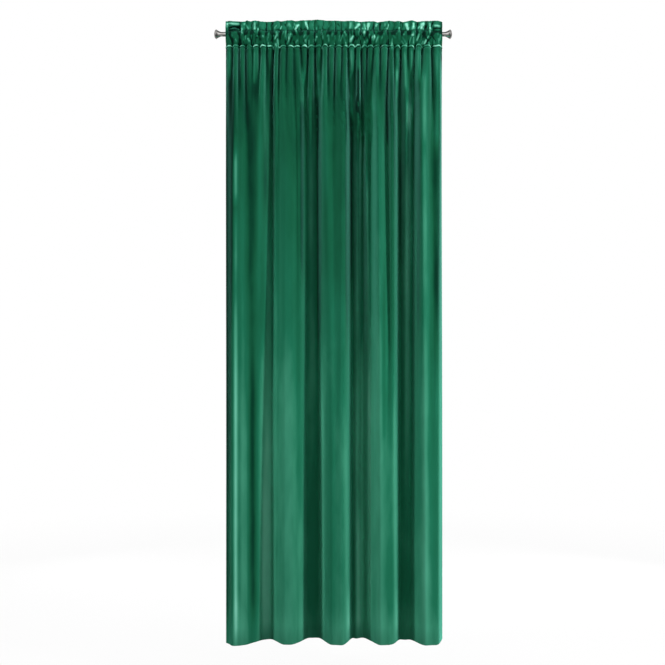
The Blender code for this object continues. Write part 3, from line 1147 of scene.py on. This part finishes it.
def makeVelvet():
    material, wire, shader = newMaterial("greenVelvet", velvetLook["shader"])
    flat = wire.node("ShaderNodeUVMap", {"uv_map": "flat"}, {})
    # each point's painted highlights and painted shade
    paintedTone = wire.node("ShaderNodeAttribute", {"attribute_name": "nap"}, {}, 2)
    stretch = (1, velvetLook["drawnOut"], 1)
    place = wire.node("ShaderNodeMapping", {}, {"Vector": flat, "Scale": stretch})
    crush = clouds(wire, place, velvetLook["crush"])
    patches = clouds(wire, place, velvetLook["patches"])
    pile = clouds(wire, flat, velvetLook["pile"])
    shares = velvetLook["shares"]
    tone = crush * shares[0] + patches * shares[1] + pile * shares[2] + paintedTone * shares[3]
    tone = (tone + velvetLook["plain"]) * velvetLook["contrast"]
    settings = {"stops": velvetLook["stops"]}
    plug(wire.node("ShaderNodeValToRGB", settings, {"Fac": tone}), shader, "Base Color")
    values = {"Height": pile, "Strength": velvetLook["bump"], "Distance": velvetLook["bumpDepth"]}
    plug(wire.node("ShaderNodeBump", {}, values), shader, "Normal")
    return material


velvet = makeVelvet()
velvetPanel = makePanel()
velvetPanel.data.materials.append(velvet)
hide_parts("curtain")
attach(velvetPanel, "root")
print("panel hung", triangles(velvetPanel), "triangles")


# The wire of a new tree with named inputs, and what they give, the geometry first
def newTree(name, inputs):
    tree = bpy.data.node_groups.new(name, "GeometryNodeTree")
    inputs = (("Geometry", "Geometry"),) + inputs
    for label, kind in inputs:
        tree.interface.new_socket(label, in_out="INPUT", socket_type="NodeSocket" + kind)
    tree.interface.new_socket("Geometry", in_out="OUTPUT", socket_type="NodeSocketGeometry")
    wire = Wire(tree)
    return wire, [wire.node("NodeGroupInput", {}, {}, k) for k in range(len(inputs))]


# A tree's last nodes, which make its instances real and give them their material
def endTree(wire, geometry, material):
    real = wire.node("GeometryNodeRealizeInstances", {}, {"Geometry": geometry})
    done = wire.node("GeometryNodeSetMaterial", {}, {"Geometry": real, "Material": material})
    wire.node("NodeGroupOutput", {}, {"Geometry": done})
    return wire.tree


# A length of something turned or tubular: a line whose points carry its radius, swept round
def turnedTree():
    inputs = (("Sides", "Int"), ("Material", "Material"))
    wire, (geometry, sides, material) = newTree("turned", inputs)
    line = wire.node("GeometryNodeMeshToCurve", {}, {"Mesh": geometry})
    named = {"data_type": "FLOAT"}
    radius = wire.node("GeometryNodeInputNamedAttribute", named, {"Name": "turnRadius"})
    ring = wire.node("GeometryNodeCurvePrimitiveCircle", {}, {"Resolution": sides, "Radius": 1.0})
    values = {"Curve": line, "Profile Curve": ring, "Scale": radius}
    skin = wire.node("GeometryNodeCurveToMesh", {}, values)
    smooth = wire.node("GeometryNodeSetShadeSmooth", {}, {"Geometry": skin})
    return endTree(wire, smooth, material)


# Runs a tree on an object with values for its named inputs, and keeps the plain mesh
def grown(item, tree, values):
    modifier = item.modifiers.new(tree.name, "NODES")
    modifier.node_group = tree
    for socket in tree.interface.items_tree:
        if socket.item_type == "SOCKET" and socket.in_out == "INPUT" and socket.name in values:
            modifier[socket.identifier] = values[socket.name]
    bpy.context.view_layer.update()
    evaluated = item.evaluated_get(bpy.context.evaluated_depsgraph_get())
    data = bpy.data.meshes.new_from_object(evaluated)
    item.modifiers.remove(modifier)
    old = item.data
    item.data = data
    bpy.data.meshes.remove(old)
    data.name = item.name
    return item


# An object of lines, each a list of points, which may carry their radii
def lineObject(name, lines, radii=None):
    points = []
    edges = []
    for line in lines:
        edges += [(k + len(points), k + len(points) + 1) for k in range(len(line) - 1)]
        points += [tuple(point) for point in line]
    data = bpy.data.meshes.new(name)
    data.from_pydata(points, edges, [])
    if radii is not None:
        data.attributes.new("turnRadius", "FLOAT", "POINT").data.foreach_set("value", radii)
    return linked(name, data)


# Plated tube and trumpet finials, in millimetres. Heights are from the tube's end outwards.
metal = {
    "colour": (0.66, 0.64, 0.62, 1),
    "dull": 0.20,
    "bright": 0.13,
    "brush": (420, 3),
    "brushSpread": 0.12,
    "tubeRadius": 9.5,
    "tubeWall": 1.2,
    "tubeLength": 886,
    "tubeEdge": 0.2,
    "neck": 9.2,
    "neckEdge": 0.4,
    "flareStart": 6,
    "flareEnd": 28.5,
    "flareCurve": 1.5,
    "flareParts": 24,
    "rim": 20,
    "rimRound": 1.1,
    "rimParts": 8,
    "domeRadius": 17.2,
    "domeRise": 0.6,
    "domeParts": 14,
    "length": 36.5,
    "spigot": 8.0,
    "spigotLength": 28,
    "spigotEdge": 0.5,
    "fittingGap": 0.3,
    "hair": 0.01,  # keeps points off the axis, and two of them off one height
    "sides": 96,
}
halfTube = metal["tubeLength"] / 2


def makeMetal(name, roughness):
    values = {"Base Color": metal["colour"], "Metallic": 1}
    material, wire, shader = newMaterial(name, values)
    place = wire.node("ShaderNodeTexCoord", {}, {}, 3)
    brush = clouds(wire, place, metal["brush"])
    plug(roughness + (brush - 0.5) * metal["brushSpread"], shader, "Roughness")
    return material


# Radius and height of points down one finial, from its dome's crown to its spigot
def finialOutline():
    rim, turn, flareEnd = metal["rim"], metal["rimRound"], metal["flareEnd"]
    domeBase = flareEnd + metal["domeRise"]
    crown = metal["length"] - domeBase
    hair = metal["hair"]
    points = [(hair, metal["length"])]
    for k in range(1, metal["domeParts"] + 1):
        angle = math.pi / 2 * k / metal["domeParts"]
        points.append((metal["domeRadius"] * math.sin(angle), domeBase + crown * math.cos(angle)))
    for k in range(metal["rimParts"] + 1):
        angle = math.pi * (0.5 - k / metal["rimParts"])
        points.append((rim - turn + turn * math.cos(angle), flareEnd - turn + turn * math.sin(angle)))
    neck, start = metal["neck"], metal["flareStart"]
    foot = flareEnd - 2 * turn
    for k in range(1, metal["flareParts"] + 1):
        share = 1 - k / metal["flareParts"]
        radius = neck + (rim - turn - neck) * share ** metal["flareCurve"]
        points.append((radius, start + (foot - start) * share))
    gap, edge = metal["fittingGap"], metal["neckEdge"]
    points += [(neck, gap + edge), (neck - edge, gap), (metal["spigot"], gap - 2 * hair)]
    spigot, end, edge = metal["spigot"], -metal["spigotLength"], metal["spigotEdge"]
    points += [(spigot, end + edge), (spigot - edge, end), (hair, end - 2 * hair)]
    return points


# Radius and height of points round the tube's wall
def tubeOutline():
    edge, hair = metal["tubeEdge"], metal["hair"]
    outer, inner = metal["tubeRadius"], metal["tubeRadius"] - metal["tubeWall"]
    return [
        (inner, -halfTube + edge),
        (inner + edge, -halfTube),
        (outer - edge, -halfTube + hair),
        (outer, -halfTube + edge),
        (outer, halfTube - edge),
        (outer - edge, halfTube - hair),
        (inner + edge, halfTube),
        (inner, halfTube - edge),
        (inner, -halfTube + edge + hair),
    ]


turned = turnedTree()


def makeTurned(name, node, outline, turnSide, shift, material):
    points = [((turnSide * height + shift) * mm, 0, 0) for _, height in outline]
    item = lineObject(name, [points], [radius * mm for radius, _ in outline])
    grown(item, turned, {"Sides": metal["sides"], "Material": material})
    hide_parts(node)
    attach(item, "root")


satin = makeMetal("satinPlate", metal["dull"])
polished = makeMetal("polishedPlate", metal["bright"])
makeTurned("plainRod", "rod", tubeOutline(), 1, 0, satin)
for side, name in ((-1, "finial_left"), (1, "finial_right")):
    shift = side * halfTube
    makeTurned(name + "Trumpet", name, finialOutline(), side, shift, polished)
print("rod and finials turned")


# Lock stitches along the seams, in millimetres
stitch = {
    "pitch": 3.6,
    "length": 2.7,
    "thick": 0.42,
    "segments": 6,
    "rings": 5,
    "colour": (0.003, 0.06, 0.032),
    "shades": (0.7, 1.5),
    "twist": (900, 1),
    "shader": {"Roughness": 0.8, "Specular IOR Level": 0.0},
}


def stitchTree():
    inputs = tuple((name, "Float") for name in ("Pitch", "Length", "Radius"))
    wire, given = newTree("stitches", inputs + (("Material", "Material"),))
    geometry, pitch, length, radius, material = given
    line = wire.node("GeometryNodeMeshToCurve", {}, {"Mesh": geometry})
    values = {"Curve": line, "Length": pitch}
    spots = wire.node("GeometryNodeCurveToPoints", {"mode": "LENGTH"}, values)
    aim = Wire(wire.tree, spots.socket.node.outputs["Tangent"])
    turn = wire.node("FunctionNodeAlignRotationToVector", {"axis": "Z"}, {"Vector": aim})
    values = {"Segments": stitch["segments"], "Rings": stitch["rings"], "Radius": 1.0}
    bead = wire.node("GeometryNodeMeshUVSphere", {}, values)
    smooth = wire.node("GeometryNodeSetShadeSmooth", {}, {"Geometry": bead})
    size = wire.node("ShaderNodeCombineXYZ", {}, {"X": radius, "Y": radius, "Z": length * 0.5})
    values = {"Points": spots, "Instance": smooth, "Rotation": turn, "Scale": size}
    threads = wire.node("GeometryNodeInstanceOnPoints", {}, values)
    return endTree(wire, threads, material)


def makeThread():
    material, wire, shader = newMaterial("greenThread", stitch["shader"])
    place = wire.node("ShaderNodeTexCoord", {}, {}, 3)
    twist = clouds(wire, place, stitch["twist"])
    colours = [[value * share for value in stitch["colour"]] + [1] for share in stitch["shades"]]
    plug(twist.blended(*colours), shader, "Base Color")
    return material


def makeStitches():
    item = lineObject("seamStitches", seamLines)
    values = {
        "Pitch": stitch["pitch"] * mm,
        "Length": stitch["length"] * mm,
        "Radius": stitch["thick"] * mm,
        "Material": makeThread(),
    }
    grown(item, stitchTree(), values)
    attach(item, "root")
    return item


stitches = makeStitches()
print("seams stitched", triangles(stitches), "triangles")


# The pale floor, seen faintly near its middle
floorLook = {
    "height": -2.60,
    "radius": 5.0,
    "sides": 96,
    "shader": {"Base Color": (0.95, 0.95, 0.95, 1), "Roughness": 0.9},
    "haze": 0.07,
    "fade": (0.35, 0.95),  # shares of the radius
}


def makeFloor():
    sides, radius = floorLook["sides"], floorLook["radius"]
    bpy.ops.mesh.primitive_circle_add(vertices=sides, radius=radius, fill_type="NGON")
    floor = bpy.context.object
    floor.name = "studioFloor"
    floor.location.z = floorLook["height"]
    material, wire, shader = newMaterial("paleFloor", floorLook["shader"])
    place = wire.node("ShaderNodeTexCoord", {}, {}, 3)
    reach = wire.node("ShaderNodeVectorMath", {"operation": "LENGTH"}, {0: place}, 1)
    low, high = [share * radius for share in floorLook["fade"]]
    plug(smoothStep(wire, reach, low, high, floorLook["haze"], 0.0), shader, "Alpha")
    floor.data.materials.append(material)


# Soft lamps: azimuth in degrees to the right of the camera, sizes in metres, power in watts
lamps = (
    ("rightStrip", 58, -1.35, 2.8, 0.35, 2.2, 62),
    ("rightFill", 22, -1.3, 3.2, 0.80, 2.0, 17),
    ("leftStrip", -60, -1.35, 2.8, 0.35, 2.2, 42),
    ("topBox", 8, 1.55, 0.50, 1.6, 0.3, 36),
    ("backRight", 142, -1.0, 3.0, 0.5, 2.2, 60),
    ("backLeft", -146, -1.0, 3.0, 0.5, 2.2, 36),
    ("backFill", 172, -0.6, 3.2, 1.0, 2.0, 25),
)


def makeLamps():
    for name, azimuth, height, distance, width, tall, power in lamps:
        data = bpy.data.lights.new(name, "AREA")
        data.shape = "RECTANGLE"
        data.size = width
        data.size_y = tall
        data.energy = power
        lamp = linked(name, data)
        lamp.visible_glossy = False
        turn = math.radians(azimuth)
        lamp.location = (math.sin(turn) * distance, -math.cos(turn) * distance, height)
        aim = lamp.location.copy()
        aim.z -= 0.0 if height > 0 else camera["height"]
        lamp.rotation_euler = aim.to_track_quat("Z", "Y").to_euler()


# The white room round it. Polished metal mirrors bands, from straight below to straight above,
# which are dim at both sides.
room = {
    "seen": 0.96,
    "plain": 0.04,
    "bands": (
        (0.00, 0.35),
        (0.05, 0.35),
        (0.11, 0.10),
        (0.25, 0.10),
        (0.42, 0.55),
        (0.53, 1.05),
        (0.72, 1.05),
        (0.84, 0.30),
        (0.93, 0.06),
        (1.00, 0.06),
    ),
    "sides": (0.55, 0.80, 1.0, 0.06),  # from and to where, and from what to what
}


def makeWorld():
    world = bpy.data.worlds.new("studio")
    scene.world = world
    world.use_nodes = True
    wire = Wire(world.node_tree)
    seen = wire.node("ShaderNodeLightPath", {}, {})
    mirrored = wire.node("ShaderNodeLightPath", {}, {}, 3)
    towards = wire.node("ShaderNodeTexCoord", {}, {})
    across, height = [wire.node("ShaderNodeSeparateXYZ", {}, {0: towards}, k) for k in (0, 2)]
    stops = [(place, (bright, bright, bright, 1)) for place, bright in room["bands"]]
    bands = wire.node("ShaderNodeValToRGB", {"stops": stops}, {"Fac": height * 0.5 + 0.5})
    sides = smoothStep(wire, across * across, *room["sides"])
    strength = seen * room["seen"] + mirrored * bands * sides + room["plain"]
    background = world.node_tree.nodes["Background"]
    background.inputs["Color"].default_value = (1, 1, 1, 1)
    plug(strength, background, "Strength")


makeFloor()
makeLamps()
makeWorld()
print("studio ready")
